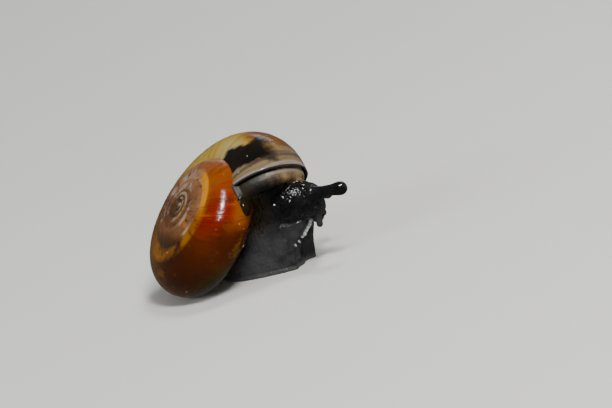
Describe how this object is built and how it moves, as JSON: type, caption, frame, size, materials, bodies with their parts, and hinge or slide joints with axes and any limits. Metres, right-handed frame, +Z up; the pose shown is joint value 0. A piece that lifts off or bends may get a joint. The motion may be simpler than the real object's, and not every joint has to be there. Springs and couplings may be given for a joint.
{
  "type": "garlic snail",
  "caption": "Still, life-size garlic snail creeping with head and front of foot raised, glossy low spiral shell tilted on its back.",
  "frame": {"origin": "centre of the bounding box of the whole snail, on the floor that the sole rests on", "axes": "+X the way the snail heads, +Y its left side, +Z up"},
  "size_m": [0.0088, 0.0058, 0.0046],
  "materials": {
    "shell": "glossy, translucent amber to red-brown",
    "collar": "moist, olive-brown mantle flesh",
    "skin": "wet, blue-black, tubercled",
    "foot": "moist, slate grey, finely mottled",
    "eye": "glossy black"
  },
  "bodies": {
    "root": {"shell": "shell", "mantle_collar": "collar", "neck": "skin", "head": "skin", "lips": "skin", "foot_front": "foot", "foot_middle": "foot", "tail": "foot", "eye_stalk_right": "skin", "eye_right": "eye", "eye_stalk_left": "skin", "eye_left": "eye", "lower_tentacle_right": "skin", "lower_tentacle_left": "skin"}
  },
  "joints": []
}
